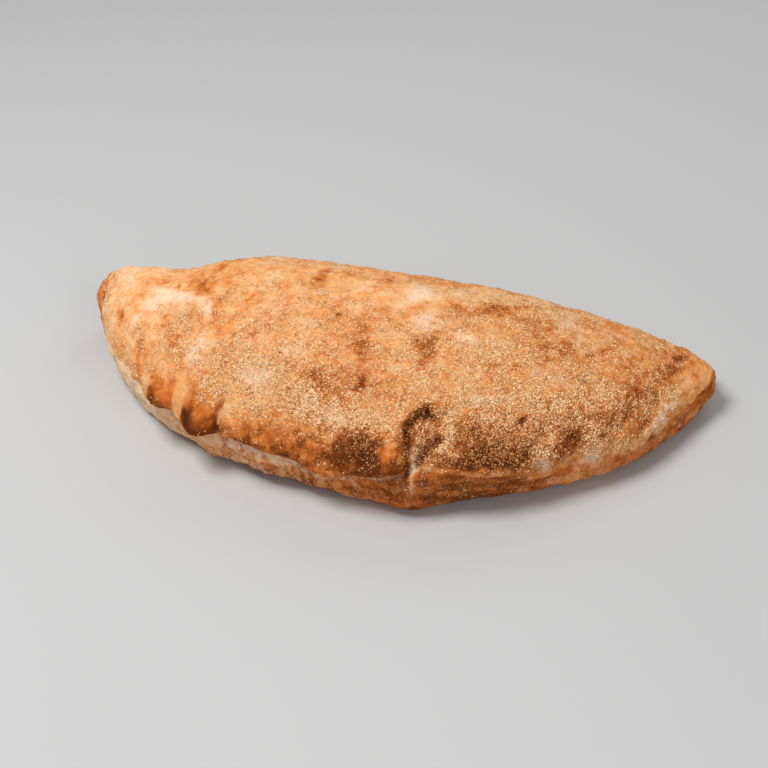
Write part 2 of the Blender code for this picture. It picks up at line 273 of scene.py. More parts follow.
# Where a film of flour lies on it:
# The first two spots, on the top's back edge, are partly a painted rim highlight.
FLOUR_AND_RIM_LIGHT = [
    (60, 140, 55, 9, 0.35), (-60, 150, 40, 9, 0.25), (80, 121, 12, 5, 0.3), (24, 104, 6, 5, 0.25),
    (139, 51, 4, 6, 0.28), (15, 133, 9, 8, 0.35), (-79, 62, 9, 9, 0.25), (-51, 58, 9, 8, 0.3),
    (-35, 136, 8, 6, 0.15), (-53, 118, 10, 8, 0.2), (-13, 127, 12, 8, 0.15), (-99, 83, 7, 5, 0.25),
    (-112, 77, 7, 7, 0.6), (-118, 66, 4, 8, 0.4, 20), (-120, 48, 3, 9, 0.42, 20),
    (-140, 60, 6, 32, 0.51, 18), (-122, 100, 6, 12, 0.59, 20), (-80, 53, 6, 5, 0.68), (-79, 63, 5, 8, 0.34),
    (-60, 105, 6, 8, 0.26), (-58, 115, 4, 5, 0.26), (-64, 143, 6, 6, 0.42), (-45, 57, 7, 6, 0.59),
    (-33, 75, 7, 5, 0.59), (-48, 95, 5, 6, 0.34), (-10, 48, 18, 6, 0.48), (-28, 92, 3, 2.5, 0.68),
    (-30, 117, 10, 4, 0.34), (14, 136, 4.5, 9, 0.85), (8, 120, 5, 4, 0.59), (19, 112, 4, 5, 0.85),
    (28, 107, 5, 4, 0.59), (15, 75, 6, 4, 0.34), (40, 98, 6, 5, 0.51), (58, 95, 4, 8, 0.42, -15),
    (85, 110, 4, 8, 0.68, -20), (98, 118, 3, 8, 0.51), (106, 92, 4, 5, 0.51), (92, 90, 3, 6, 0.34),
    (78, 72, 4, 5, 0.42, -20), (85, 66, 5, 4, 0.42), (60, 61, 10, 3, 0.51), (52, 60, 2, 4, 0.51),
    (115, 76, 3, 3, 0.51), (133, 23, 6, 4.5, 1, -20), (31.5, 38.5, 2.2, 3, 0.55),
    (84, 24, 2.5, 5, 0.85, -20), (104, 19, 5, 5, 0.77),
]
# How baked and how floured the hem is, and the smooth band right of it: (along, amount).
# Part of the hem's darkness is painted shade, where it faces down.
HEM_BAKED_AND_SHADE = [
    (-158, 0.66), (-149, 0.64), (-143, 0.3), (-105, 0.2), (-92, 0.38), (-75, 0.46), (-63, 0.52), (-53, 0.62),
    (-30, 0.7), (-8, 0.67), (0, 0.67), (8, 0.7), (33, 0.78), (60, 0.86), (66, 0.84), (80, 0.76), (90, 0.64),
    (110, 0.6), (120, 0.74), (140, 0.72), (156, 0.7),
]
HEM_FLOUR = [
    (-158, 0.05), (-149, 0.05), (-142, 0.6), (-105, 0.85), (-92, 0.55), (-75, 0.42), (-62, 0.36),
    (-52, 0.32), (-20, 0.26), (-8, 0.2), (5, 0.14), (25, 0.02), (62, 0), (80, 0.12), (90, 0.18), (110, 0.15),
    (120, 0.1), (135, 0.12), (156, 0.05),
]
# Stretches along X, each with the two ranges over which it fades in and out.
FRONT = ((-108, -98), (76, 88))
RIGHT_BROW = ((31, 36), (80, 88))
LOBE_FROM = (-50, -28)
# Bands beside the seam: (amount, height above the seam, reach, range it fades in over, and out over).
BAKED_AND_SHADE_BANDS = [
    (0.16, 5.5, 3, *RIGHT_BROW),
    (0.03, 1, 2.4, *RIGHT_BROW),
    # a dark line along bulge 1's lower edge: browning, and painted shade under its lip
    (0.25, 0.8, 1, (-103, -100), (-90, -88)),
    (-0.25, 1.2, 1.8, (-88, -86), (-79, -74)),
]
# Painted shade on the hem just under the lip:
HEM_LIP_SHADE_BANDS = [(0.1, -1, 1.4, (-30, -10), (26, 34))]
FLOUR_BANDS = [(0.45, 1, 1.6, (-88, -86), (-74, -66))]
HEM_FLOUR_BANDS = [(0.5, -2.6, 2.6, (-66, -58), (-22, -6)), (0.3, -0.9, 1.1, (-16, -6), (30, 34))]
# How much darker the shade of a crease is.
PAINTED_CREASE_SHADE = [(FIRST_CREASE, 0.08), (SECOND_CREASE, 0.22)]
# Flour beside a curve: (curve, amount, distance to its left, reach, where along it that fades in).
CURVE_FLOUR = [
    (KNOB_FOLD, 0.85, 0, 4, (0.1, 0.5)),
    (SECOND_CREASE, 0.6, 0.9, 1.1, (0.1, 0.3)),
    (FIRST_CREASE, 0.3, 1.4, 1.2, (0.1, 0.5)),
]
# Single spots: calm skin on the bulges, char at the corner, and flour on the lip, over the seam.
CALM = [(-84, 36, 24, 14, 0.6)]
CHARRED_CORNER = [(29.7, 4, 1.8, 1.8, 0.35)]
LIP_FLOUR = [(37, 0.6, 8, 2.2, 0.1)]
# How much more the pinch is baked: (amount, place beside the arch or the lap, reach).
SCORCH_AND_SHADE = [(0.5, -1.2, 3.2), (0.15, -0.8, 1.3)]
SCORCH_AND_SHADE_NEAR = [(28.5, 44, 13, 13, 1)]
LAPPED = (0.42, 1.8, 2.8)
LAP_EDGE_PALER = (-0.16, -1.6, 1.4)
# Darker deep in the pinch, most by the arch's wall: partly browning, partly painted shade.
DEEP_BAKED_AND_SHADE = 0.36
# Where semolina and its coarse texture lie thicker or thinner:
PLAIN_MEAL = 0.42
MEAL = [
    (-130, 60, 22, 60, -0.42), (-100, 105, 14, 25, -0.3), (-92, 73, 5, 6, 0.3), (-112, 45, 2.5, 5, 0.35),
    (-76.5, 32, 5, 5, -0.4), (-65, 29, 5, 3, -0.2), (-80, 105, 42, 30, -0.24), (5, 128, 40, 18, -0.2),
    (73.3, 48, 2, 2.4, -1), (-95, 35, 8, 8, -0.4), (-83, 35, 6, 10, -0.35), (-72, 34, 9, 8, -0.3),
    (-68, 50, 6, 9, 0.25), (-45, 60, 22, 20, 0.22), (-5, 47, 25, 9, 0.38), (5, 38, 12, 9, 0.15),
    (2, 33, 16, 7, -0.25), (19, 37, 3.5, 9, -0.4), (62, 28.5, 18, 3, -0.3), (96, 29, 6, 5, -0.25),
    (-57, 39, 7, 6, -0.2), (0, 60, 40, 14, 0.15), (-40, 135, 40, 14, -0.25), (10, 125, 20, 12, -0.18),
    (24, 88, 7, 10, 0.25), (35, 117, 12, 8, 0.15), (60, 125, 14, 9, 0.1), (32, 44, 9, 12, 0.4),
    (60, 42, 22, 18, 0.4), (95, 38, 30, 18, 0.45), (55, 85, 8, 7, 0.2), (75, 85, 15, 10, 0.18),
    (115, 70, 14, 14, -0.1), (105, 95, 18, 14, -0.18), (146, 40, 7, 22, -0.3), (136, 56, 6, 8, 0.15),
    (128, 25, 9, 8, -0.25), (148, 25, 8, 20, -0.35), (-32, 31, 30, 7, -0.35), (83, 33, 2.5, 6, -0.2),
]
# Crumbs of dough and semolina that stand out: (along, over, mm across).
CRUMBS = [
    (76.5, 47, 2), (78, 46, 1.2), (30.5, 53.5, 1.3), (30, 51.3, 1.2), (-8.5, 33.5, 1.8), (-112, 50, 1.6),
    (-112.3, 46, 1.7), (-111, 42, 1.9), (31, 40.5, 1.6), (33, 39.5, 1.4), (-22, 60.5, 1.6), (-97, 31, 1.2),
    (-94.5, 30, 1.1), (-14, 58, 1.2),
]
BUMP_HEIGHT = 0.6 * MM
CRUST_FINISH = {
    "Roughness": 0.85, "Specular IOR Level": 0.08,
    "Subsurface Weight": 0.04, "Subsurface Radius": (1.0, 0.45, 0.2), "Subsurface Scale": 2 * MM,
}
# Linear tints that darken the crust's mottle and the gaps between grains.
MOTTLE_TINT = (0.64, 0.43, 0.28)
GAP_TINT = (0.34, 0.20, 0.12)
# A floury fleck's sRGB colour is this share of the crust's, plus the lift.
FLECK_SHARE = 0.8
FLECK_LIFT = np.array([0.24, 0.19, 0.12])
SEMOLINA_TONES = [(0.68, 0.43, 0.23), (0.89, 0.64, 0.42), (0.96, 0.83, 0.65)]
TOASTED_TONES = [(0.45, 0.23, 0.09), (0.68, 0.40, 0.18), (0.84, 0.57, 0.31)]
CHARRED_TONES = [(0.17, 0.10, 0.06), (0.26, 0.15, 0.08), (0.36, 0.21, 0.11)]

SEMOLINA = {"count": 22000, "sizes": (0.5, 1.35), "sunk": 0.45, "seed": 31}
TOASTED = {"count": 12000, "sizes": (0.4, 1.0), "sunk": 0.5, "seed": 32}
CHARRED = {"count": 150, "sizes": (0.4, 1.1), "sunk": 0.45, "seed": 33}
# A grain is an octahedron, dented at its corners, and drawn out flat along the crust.
GRAIN_CORNERS = np.array([(1, 0, 0), (-1, 0, 0), (0, 1, 0), (0, -1, 0), (0, 0, 1), (0, 0, -1)], float)
GRAIN_FACES = np.array(
    [(0, 2, 4), (2, 1, 4), (1, 3, 4), (3, 0, 4), (2, 0, 5), (1, 2, 5), (3, 1, 5), (0, 3, 5)]
)
GRAIN_SHAPE = np.array([1.6, 0.8, 0.75])
GRAIN_SQUEEZE = (0.7, 1.3)
GRAIN_DENTS = (0.75, 1.15)
GRAIN_TIP = 0.25
TONE_SPREAD = 0.7
# Few grains stay on what faces back, and none near the ground, by height in mm.
FACING_BACK = (-0.1, 0.35)
OFF_GROUND = (1.2, 3.5)

CAMERA_LENS = 74.6
CAMERA_PLACE = (0.1321, -0.5931, 0.4752)
CAMERA_FORWARD = (-0.17143, 0.78217, -0.59902)
LIGHTS_TARGET = (0, 0, 0.02)
# Round lamps: (name, place, size, power).
LIGHTS = [
    ("key", (-0.42, -0.26, 1.07), 0.5, 11.9),
    ("back", (0.25, 0.75, 0.6), 0.6, 1.3),
    ("fill", (0.6, -0.7, 0.5), 0.6, 2.4),
]
WORLD_LIGHT = 0.31
FLOOR_HALF = 3.0
FLOOR_GREY = 0.5


def linear(colour):
    """sRGB to linear."""
    colour = np.asarray(colour, float)
    return np.where(colour <= 0.04045, colour / 12.92, ((colour + 0.055) / 1.055) ** 2.4)


def srgb(colour):
    """Linear to sRGB."""
    return np.where(colour <= 0.0031308, colour * 12.92, 1.055 * np.maximum(colour, 0) ** (1 / 2.4) - 0.055)


# ---- noise and curves


def bell(value, reach):
    return np.exp(-((value / reach) ** 2))


def band(value, amount, place, reach):
    return amount * bell(value - place, reach)


def step(value, low, high):
    """0 below low, 1 above high, smooth between."""
    share = np.clip((value - low) / (high - low), 0, 1)
    return share * share * (3 - 2 * share)


def lattice_hash(i, j, k, seed):
    mixed = (i * 374761393 + j * 668265263 + k * 2147483647 + seed * 1274126177) & 0xFFFFFFFF
    mixed = ((mixed ^ (mixed >> 13)) * 1103515245) & 0xFFFFFFFF
    mixed = ((mixed ^ (mixed >> 15)) * 2246822519) & 0xFFFFFFFF
    return mixed ^ (mixed >> 16)


def noise(points, swing, seed):
    """Gradient noise of points in metres, about -1 to 1, with a swing in mm: one, or one per axis."""
    places = points / (np.asarray(swing, float) * MM)
    cell = np.floor(places).astype(np.int64)
    part = places - cell
    ease = part**3 * (part * (part * 6 - 15) + 10)
    total = np.zeros(points.shape[:-1])
    for corner in np.ndindex(2, 2, 2):
        mixed = lattice_hash(*(cell[..., axis] + corner[axis] for axis in range(3)), seed)
        slopes = np.stack([((mixed >> shift) & 1023) / 511.5 - 1 for shift in (0, 10, 20)], axis=-1)
        weight = np.prod(np.where(corner, ease, 1 - ease), axis=-1)
        total += weight * (slopes * (part - corner)).sum(axis=-1)
    return 1.5 * total


def layered(points, swing, seed, layers=3, fade=0.55):
    """Noise of several swings, each half the last, about -1 to 1."""
    total, weight = 0.0, 1.0
    for layer in range(layers):
        total = total + weight * noise(points, np.asarray(swing, float) / 2**layer, seed + 31 * layer)
        weight *= fade
    return total / 1.4


def along_table(table, along, blur=2.5):
    """A value listed by place along X, read smoothly."""
    places, values = np.array(table, float).T
    fine = np.arange(-170, 171, 1.0)
    level = np.interp(fine, places, values)
    kernel = bell(np.arange(-8, 9), blur)
    level = np.convolve(np.pad(level, 8, mode="edge"), kernel / kernel.sum(), mode="valid")
    return np.interp(along, fine, level)


def beside(curve, along, over):
    """Distance from a curve, above zero on its left, and the place along it, 0 to 1."""
    curve = np.array(curve, float)
    best = np.full(along.shape, np.inf)
    side, share = np.zeros(along.shape), np.zeros(along.shape)
    for n, (start, stop) in enumerate(zip(curve, curve[1:])):
        way = stop - start
        off_x, off_y = along - start[0], over - start[1]
        t = np.clip((off_x * way[0] + off_y * way[1]) / (way @ way), 0, 1)
        gap_x, gap_y = off_x - t * way[0], off_y - t * way[1]
        gap = gap_x**2 + gap_y**2
        closer = gap < best
        best = np.where(closer, gap, best)
        side = np.where(closer, np.sign(way[0] * off_y - way[1] * off_x), side)
        share = np.where(closer, (n + t) / (len(curve) - 1), share)
    return np.sqrt(best) * side, share


# ---- the crust's grid


def station_places(low_x, high_x):
    share = (np.arange(STATIONS) + 0.5) / STATIONS
    even = 2 * share - 1
    crowded = -np.cos(math.pi * share)
    middle, half = (low_x + high_x) / 2, (high_x - low_x) / 2
    return middle + half * (even + TIP_CROWDING * (crowded - even))


def section_centre(tree, x, corners):
    """A point well inside the CAD solid's section at x.  Near a tip it lies on the line to the tip."""
    tip = corners[corners[:, 0].argmin() if x < 0 else corners[:, 0].argmax()]
    to_tip = abs(tip[0] - x)
    if to_tip < TIP_REACH:
        inner = section_centre(tree, tip[0] - math.copysign(TIP_REACH, x), corners)
        return Vector(tip).lerp(inner, to_tip / TIP_REACH)
    near = corners[np.abs(corners[:, 0] - x) < SLICE_REACH]
    centre = Vector((near.min(axis=0) + near.max(axis=0)) / 2)
    centre.x = x
    for axis in (2, 1, 2, 1):
        ahead = Vector([float(i == axis) for i in range(3)])
        hits = [tree.ray_cast(centre, way)[0] for way in (ahead, -ahead)]
        if None not in hits:
            centre[axis] = (hits[0][axis] + hits[1][axis]) / 2
    return centre


def ring_round(tree, centre):
    """Points where rays from the centre leave the CAD solid: down first, then forward, up and back."""
    points = []
    for ray in range(RAYS_PER_RING):
        turn = 2 * math.pi * ray / RAYS_PER_RING
        way = Vector((0, -math.sin(turn), -math.cos(turn)))
        hit = tree.ray_cast(centre, way)[0]
        if hit is not None:
            points.append(hit)
    return np.array(points)


def spacing_weight(ring):
    """How densely columns are set along a ring: closest up the front, widest underneath."""
    y, z = ring[:, 1], ring[:, 2]
    crown_y = y[z.argmax()]
    low, high = z.min(), z.max()
    weight = np.where(y > crown_y, BACK_DENSITY, 1.0)
    weight[(y < crown_y) & (z < low + FRONT_HEIGHT * (high - low))] = FRONT_DENSITY
    weight[z < low + UNDER_HEIGHT * (high - low)] = UNDER_DENSITY
    return weight


def spaced_out(ring):
    """The ring as COLUMNS points, spaced by weighted arc length from its first point."""
    closed = np.vstack((ring, ring[:1]))
    weight = spacing_weight(closed)
    steps = np.linalg.norm(np.diff(closed, axis=0), axis=1) * (weight[1:] + weight[:-1]) / 2
    run = np.concatenate(([0.0], np.cumsum(steps)))
    wanted = np.arange(COLUMNS) * run[-1] / COLUMNS
    return np.stack([np.interp(wanted, run, closed[:, axis]) for axis in range(3)], axis=1)


def relaxed(grid, share):
    around = (np.roll(grid, 1, axis=1) + np.roll(grid, -1, axis=1)) / 2
    along = grid.copy()
    along[1:-1] = (grid[2:] + grid[:-2]) / 2
    return grid + share * ((around + along) / 2 - grid)


def crust_grid(cad):
    """Stations x COLUMNS points on the CAD solid, its facets smoothed away without shrinking it."""
    tree = BVHTree.FromObject(cad, bpy.context.evaluated_depsgraph_get())
    corners = np.array([corner.co for corner in cad.data.vertices])
    rings = []
    for x in station_places(corners[:, 0].min(), corners[:, 0].max()):
        rings.append(spaced_out(ring_round(tree, section_centre(tree, x, corners))))
    grid = np.array(rings)
    for _ in range(SMOOTHING_ROUNDS):
        for share in SMOOTHING:
            grid = relaxed(grid, share)
    rounded = ROUNDING * step(grid[..., :1] / MM, *ROUNDED_FROM)
    middle = grid.mean(axis=1, keepdims=True)
    reach = np.linalg.norm(grid - middle, axis=2).mean(axis=1)
    for _ in range(ROUNDING_ROUNDS):
        around = (np.roll(grid, 1, axis=1) + np.roll(grid, -1, axis=1)) / 2
        grid = grid + rounded * (around - grid)
    shrunk = np.linalg.norm(grid - middle, axis=2).mean(axis=1)
    grid = middle + (grid - middle) * (reach / shrunk)[:, None, None]
    grid[..., 2] = np.maximum(grid[..., 2], 0.0)
    return grid


def grid_normals(grid):
    along = np.gradient(grid, axis=0)
    around = np.roll(grid, -1, axis=1) - np.roll(grid, 1, axis=1)
    normals = np.cross(along, around)
    return normals / np.linalg.norm(normals, axis=2, keepdims=True)


def girth_run(grid):
    """Distance along each ring from the base's front edge, up and over, in mm; below zero underneath."""
    steps = np.linalg.norm(np.roll(grid, -1, axis=1) - grid, axis=2)
    run = np.cumsum(steps, axis=1) - steps
    z = grid[..., 2]
    edge = z.min(axis=1, keepdims=True) + BASE_EDGE_RISE
    first = (z > edge).argmax(axis=1)
    rows = np.arange(len(grid))
    before = np.maximum(first - 1, 0)
    part = (edge[:, 0] - z[rows, before]) / np.maximum(z[rows, first] - z[rows, before], 1e-9)
    start = run[rows, before] + part * (run[rows, first] - run[rows, before])
    return (run - start[:, None]) / MM


def grid_mesh(name, grid, ends):
    """A closed mesh of quads, with a fan to each tip, and a UV map that unrolls it: stations by columns."""
    rows, columns = grid.shape[:2]
    left_tip, right_tip = rows * columns, rows * columns + 1
    faces, places = [], []
    for i in range(rows - 1):
        for j in range(columns):
            k = (j + 1) % columns
            faces.append((i * columns + j, (i + 1) * columns + j, (i + 1) * columns + k, i * columns + k))
            places += [(i, j), (i + 1, j), (i + 1, j + 1), (i, j + 1)]
    last = (rows - 1) * columns
    for j in range(columns):
        k = (j + 1) % columns
        faces.append((left_tip, j, k))
        places += [(-1, j + 0.5), (0, j), (0, j + 1)]
        faces.append((right_tip, last + k, last + j))
        places += [(rows, j + 0.5), (rows - 1, j + 1), (rows - 1, j)]
    mesh = bpy.data.meshes.new(name)
    mesh.from_pydata(np.vstack((grid.reshape(-1, 3), ends)).tolist(), [], faces)
    layer = mesh.uv_layers.new(name="OFBake")
    unrolled = (np.array(places, float) + (1, 0)) / (rows + 1, columns)
    layer.data.foreach_set("uv", (0.004 + 0.992 * unrolled).ravel())
    mesh.shade_smooth()
    return mesh


# ---- the crust's relief


def spotted(spots, along, over):
    """The sum of soft spots, each (along, over, reach along, reach over, amount, lean if any)."""
    total = np.zeros(along.shape)
    for centre_x, centre_s, reach_x, reach_s, amount, *lean in spots:
        turn = math.radians(lean[0] if lean else 0)
        off_x, off_s = along - centre_x, over - centre_s
        across = off_x * math.cos(turn) - off_s * math.sin(turn)
        length = off_x * math.sin(turn) + off_s * math.cos(turn)
        total += amount * bell(np.hypot(across / reach_x, length / reach_s), 1)
    return total


def above_seam(along, over):
    return over - along_table(SEAM, along, SEAM_BLUR)


def seam_relief(along, over):
    """The top's rounded lip over the seam, and the hem standing back under it."""
    above = above_seam(along, over)
    top_side = step(above, *LIP_ROUNDING)
    lip = along_table(LIP, along) * bell(above - LIP_PLACE, LIP_REACH)
    back = -along_table(SETBACK, along) * np.exp(np.minimum(above, 0) / SETBACK_REACH)
    return top_side * lip + (1 - top_side) * back


def pinch_parts(along, over):
    """How deep in the pinch each point is, 0 to 1, and how far it lies from the arch and from the lap."""
    from_arch, _ = beside(ARCH, along, over)
    from_lap, _ = beside(LAP, along, over)
    inside = step(-from_arch, *ARCH_EDGE) * step(from_lap, *LAP_EDGE)
    near = np.hypot(along - PINCH_PLACE[0], over - PINCH_PLACE[1]) < PINCH_REACH
    deep = inside * np.exp(-np.maximum(-from_arch, 0) / PINCH_FADE) * near
    return deep, from_arch, from_lap


def pinch_relief(along, over):
    deep, from_arch, from_lap = pinch_parts(along, over)
    rims = band(from_arch, *ARCH_RIM) * (from_arch > 0) + band(-from_lap, *LAP_RIM) * (from_lap < 0)
    near = bell(np.hypot(along - PINCH_PLACE[0], over - PINCH_PLACE[1]), RIM_REACH)
    return -PINCH_DEPTH * deep + rims * step(near, 0.1, 0.5)


def crease_relief(along, over):
    lift = spotted(SWELLS, along, over)
    for curve, depth, width, lean in CREASES.values():
        gap, share = beside(curve, along, over)
        fade = step(share, -0.01, 0.25)
        if depth < DEEP_CREASE:
            fade = fade * step(1 - share, -0.01, 0.25)
        lift += fade * (lean * np.tanh(gap / (width / 2)) * bell(gap, 4 * width) - depth * bell(gap, width))
    for curve, height, width in RIDGES.values():
        gap, share = beside(curve, along, over)
        fade = step(share, -0.01, 0.2) * step(1 - share, -0.01, 0.2)
        lift += height * fade * bell(gap, width)
    return lift


def lump_relief(points, upper):
    lift = np.zeros(points.shape[:-1])
    for n, (swing, height) in enumerate(LUMPS):
        lift += height * noise(points, swing, 11 + n)
    return lift * (UNDER_LUMPS + (1 - UNDER_LUMPS) * upper)


def blister_relief(points, upper):
    """Low domes, scattered over the top and the sides."""
    chance = np.random.default_rng(21)
    flat = points.reshape(-1, 3)
    lift = np.zeros(len(flat))
    for place in chance.choice(len(flat), BLISTERS, replace=False):
        reach = chance.uniform(*BLISTER_REACH)
        height = chance.uniform(*BLISTER_HEIGHT) * reach / BLISTER_REACH[1]
        gap = ((flat - flat[place]) ** 2).sum(axis=1)
        lift += height * np.exp(-gap / (reach * MM) ** 2)
    return lift.reshape(points.shape[:-1]) * upper


def streaks(along, over, lean, across, length, seed):
    """Noise drawn out along a lean, in degrees: across and length are its swings in mm."""
    turn = math.radians(lean)
    off = along * math.cos(turn) - over * math.sin(turn)
    run = along * math.sin(turn) + over * math.cos(turn)
    return noise(np.stack((off, run, np.zeros(off.shape)), axis=-1) * MM, (across, length, 10), seed)


def knob_wrinkles(along, over):
    """Fine folds that run up round the knob at the left end."""
    return KNOB_HEIGHT * step(-along, *KNOB_FROM) * streaks(along, over, *KNOB_STREAKS)


def hem_lines(points, along, over):
    """Fine folds along the tucked hem."""
    hem = step(-above_seam(along, over), 0.5, 3) * step(over, -2, 2)
    fine = 0.06 + 0.16 * step(-along, *STREAKED_FROM)
    return hem * (0.25 * noise(points, HEM_FOLDS, 61) + fine * streaks(along, over, *HEM_STREAKS))


def tucked(grid, over):
    """The grid with the front edge of its base stood back, and small parts of its outline moved."""
    low = step(TUCK_HEIGHT - grid[..., 2] / MM, 0, 7) * step(over, -22, -4) * step(60 - over, 0, 20)
    grid = grid.copy()
    grid[..., 1] += along_table(TUCK, grid[..., 0] / MM) * low * MM
    for place, reach, move in MOVES:
        gap = np.linalg.norm(grid / MM - place, axis=-1)
        grid = grid + bell(gap, reach)[..., None] * np.array(move) * MM
    return grid


def raised(grid, along, over):
    """The grid moved along its normals by all of the relief, but for the flat underside."""
    upper = step(over, 0, 6) * step(over.max(axis=1, keepdims=True) - over, 0, 6)
    bent_x = along + RELIEF_BEND * noise(grid, 8, 71)
    bent_s = over + RELIEF_BEND * noise(grid, 8, 72)
    lift = seam_relief(bent_x, bent_s) + pinch_relief(bent_x, bent_s) + crease_relief(bent_x, bent_s)
    lift += lump_relief(grid, upper) + blister_relief(grid, upper)
    lift += hem_lines(grid, along, over) + knob_wrinkles(bent_x, bent_s)
    above_ground = step(grid[..., 2] / MM, 0.2, 2.5)
    moved = tucked(grid, over) + grid_normals(grid) * (lift * above_ground * MM)[..., None]
    moved[..., 2] = np.maximum(moved[..., 2], 0.0)
    return moved


# ---- the crust's colour


def crisp(value, sharpness=2.5):
    """Noise pushed towards its ends, so that it makes patches."""
    return np.tanh(sharpness * value)


def soft_capped(value, knee, room):
    """The value, held below knee + room by a soft bend above the knee."""
    return knee + room * np.tanh((value - knee) / room)


def hem_share(points, along, over):
    """1 on the hem under the seam and the smooth band right of it, 0 above."""
    ragged = 0.5 + 2.5 * step(along, 70, 95)
    below = ragged * layered(points, 6, 103) - above_seam(along, over)
    return step(below, -0.6, 0.8) * step(over, -6, -1)


def faded(value, fade_in, fade_out):
    """1 between the two ranges, 0 outside them, smooth over each."""
    return step(value, *fade_in) * (1 - step(value, *fade_out))


def seam_bands(bands, along, above):
    """The sum of bands that run beside the seam."""
    total = np.zeros(along.shape)
    for amount, place, reach, fade_in, fade_out in bands:
        total += band(above, amount, place, reach) * faded(along, fade_in, fade_out)
    return total


def hem_baked_and_shade(points, along, over, above):
    """How far the hem is baked, with painted shade where it faces down and near the ground."""
    low = along_table(HEM_BAKED_AND_SHADE, along) + 0.12 * crisp(layered(points, (11, 11, 4), 109))
    strokes = 0.04 + 0.13 * step(-along, *STREAKED_FROM)
    low += strokes * crisp(streaks(along, over, *HEM_STREAKS)) + 0.08 * noise(points, 2.4, 110)
    low += seam_bands(HEM_LIP_SHADE_BANDS, along, above)
    # Painted shade low on the hem at the front left, near the ground.
    low += 0.12 * (1 - step(over, 5, 13)) * faded(along, (-66, -50), (-16, -2))
    # Darker along the foot of the right tip.
    return low + 0.25 * (1 - step(over, 1, 5)) * step(along, 140, 150)


def baked_share(points, along, over, hem):
    """How far each point is baked, 0 for raw dough to 1 for char, with painted shade in creases and under
    lips.
    """
    left = step(-along, *LEFT_END)
    share = PLAIN_BAKED + (LEFT_END_BAKED - PLAIN_BAKED) * left + spotted(BAKED, along, over)
    patches = 0.08 * layered(points, 26, 91) + 0.09 * crisp(layered(points, 10, 94))
    patches += 0.11 * crisp(layered(points, 4.2, 97)) + 0.08 * noise(points, 1.9, 98)
    share += patches * (1 + 0.15 * left - spotted(CALM, along, over))
    above = above_seam(along, over)
    front = faded(along, *FRONT)
    lobe = front * step(along, *LOBE_FROM) * (1 - faded(along, *RIGHT_BROW))
    # Darker along the front lobe's lower edge over the seam: browner crust, and painted shade under its lip.
    share += 0.20 * lobe * bell(above - 1.5, 3.5) * step(above, -0.6, 0.6)
    share += 0.10 * front * bell(above - 8, 12) * streaks(along, over, *LOBE_STREAKS)
    share += seam_bands(BAKED_AND_SHADE_BANDS, along, above)
    # Painted shade in the creases between the bulges and the front lobe.
    for curve, amount in PAINTED_CREASE_SHADE:
        from_crease, place = beside(curve, along, over)
        shade = bell(from_crease + 1.2, 1.2) * (from_crease < 1)
        share += amount * shade * step(place, 0.05, 0.25)
    return share * (1 - hem) + hem_baked_and_shade(points, along, over, above) * hem


def pinch_share(points, along, over):
    """How much darker the pinch is: browning and scorch, with painted shade inside the arch by its wall."""
    deep, from_arch, from_lap = pinch_parts(along, over)
    scorch_and_shade = sum(band(from_arch, *each) for each in SCORCH_AND_SHADE) * spotted(SCORCH_AND_SHADE_NEAR, along, over)
    broken = 0.75 + 0.5 * noise(points, 2.2, 115)
    lapped = band(from_lap, *LAPPED) * (1 - step(over, 40, 46)) + band(from_lap, *LAP_EDGE_PALER)
    around = 1 - step(np.hypot(along - 33, over - 42), 15, 20)
    from_line, place = beside(PINCH_LINE, along, over)
    pleat = 0.40 * bell(from_line, 1.5) * step(1 - place, 0, 0.2) * step(place, 0.05, 0.2)
    pleat *= 1 - 0.5 * step(place, 0.5, 0.7)
    burnt_and_shaded = (scorch_and_shade + DEEP_BAKED_AND_SHADE * deep) * broken + spotted(CHARRED_CORNER, along, over)
    return burnt_and_shaded + lapped * around - pleat


def flour_film(points, along, over, hem, share):
    """How white with flour each point is, 0 to 1, with a painted rim highlight along the back edge of the
    top.
    """
    film = 0.08 + spotted(FLOUR_AND_RIM_LIGHT, along, over)
    for curve, amount, offset, reach, fade_in in CURVE_FLOUR:
        from_curve, place = beside(curve, along, over)
        film += band(from_curve, amount, offset, reach) * step(place, *fade_in)
    from_line, place = beside(PINCH_LINE, along, over)
    film += 0.6 * bell(from_line - 0.4, 1.8) * step(1 - place, 0, 0.2)
    above = above_seam(along, over)
    film += spotted(LIP_FLOUR, along, above) + seam_bands(FLOUR_BANDS, along, above)
    strokes = 0.25 * crisp(streaks(along, over, *HEM_FILM_STREAKS)) * (1 - step(along, -20, 10))
    low = along_table(HEM_FLOUR, along) + strokes + seam_bands(HEM_FLOUR_BANDS, along, above)
    film = film * (1 - hem) + hem * (low + 0.3 * film)
    line = 0.8 * bell(from_line, 1.4) * faded(place, (0.2, 0.4), (0.78, 0.98))
    film = np.maximum(film, line)
    film = film * (0.85 + 0.4 * noise(points, 2.6, 118)) + 0.20 * crisp(layered(points, 7, 116))
    film -= 0.25 * step(share, 0.5, 0.8) * (1 - hem) * step(0.6 - film, 0, 0.3)
    return np.clip(film, 0, 1)


def crust_paint(points, along, over):
    """Each point's linear colour, how far it is baked, how far it is hem, and its film of flour."""
    bent_x = along + COLOUR_BEND * layered(points, 7, 81)
    bent_s = over + COLOUR_BEND * layered(points, 7, 84)
    hem = hem_share(points, bent_x, over)
    share = baked_share(points, bent_x, bent_s, hem) + pinch_share(points, along, over)
    share = np.where(share > MOST_BAKED[0], soft_capped(share, *MOST_BAKED), share)
    share = np.clip(share, 0, 1)
    stops, colours = zip(*BAKED_COLOURS)
    ramp = linear(colours)
    colour = np.stack([np.interp(share, stops, ramp[:, channel]) for channel in range(3)], axis=-1)
    return colour, share, hem, flour_film(points, bent_x, bent_s, hem, share)


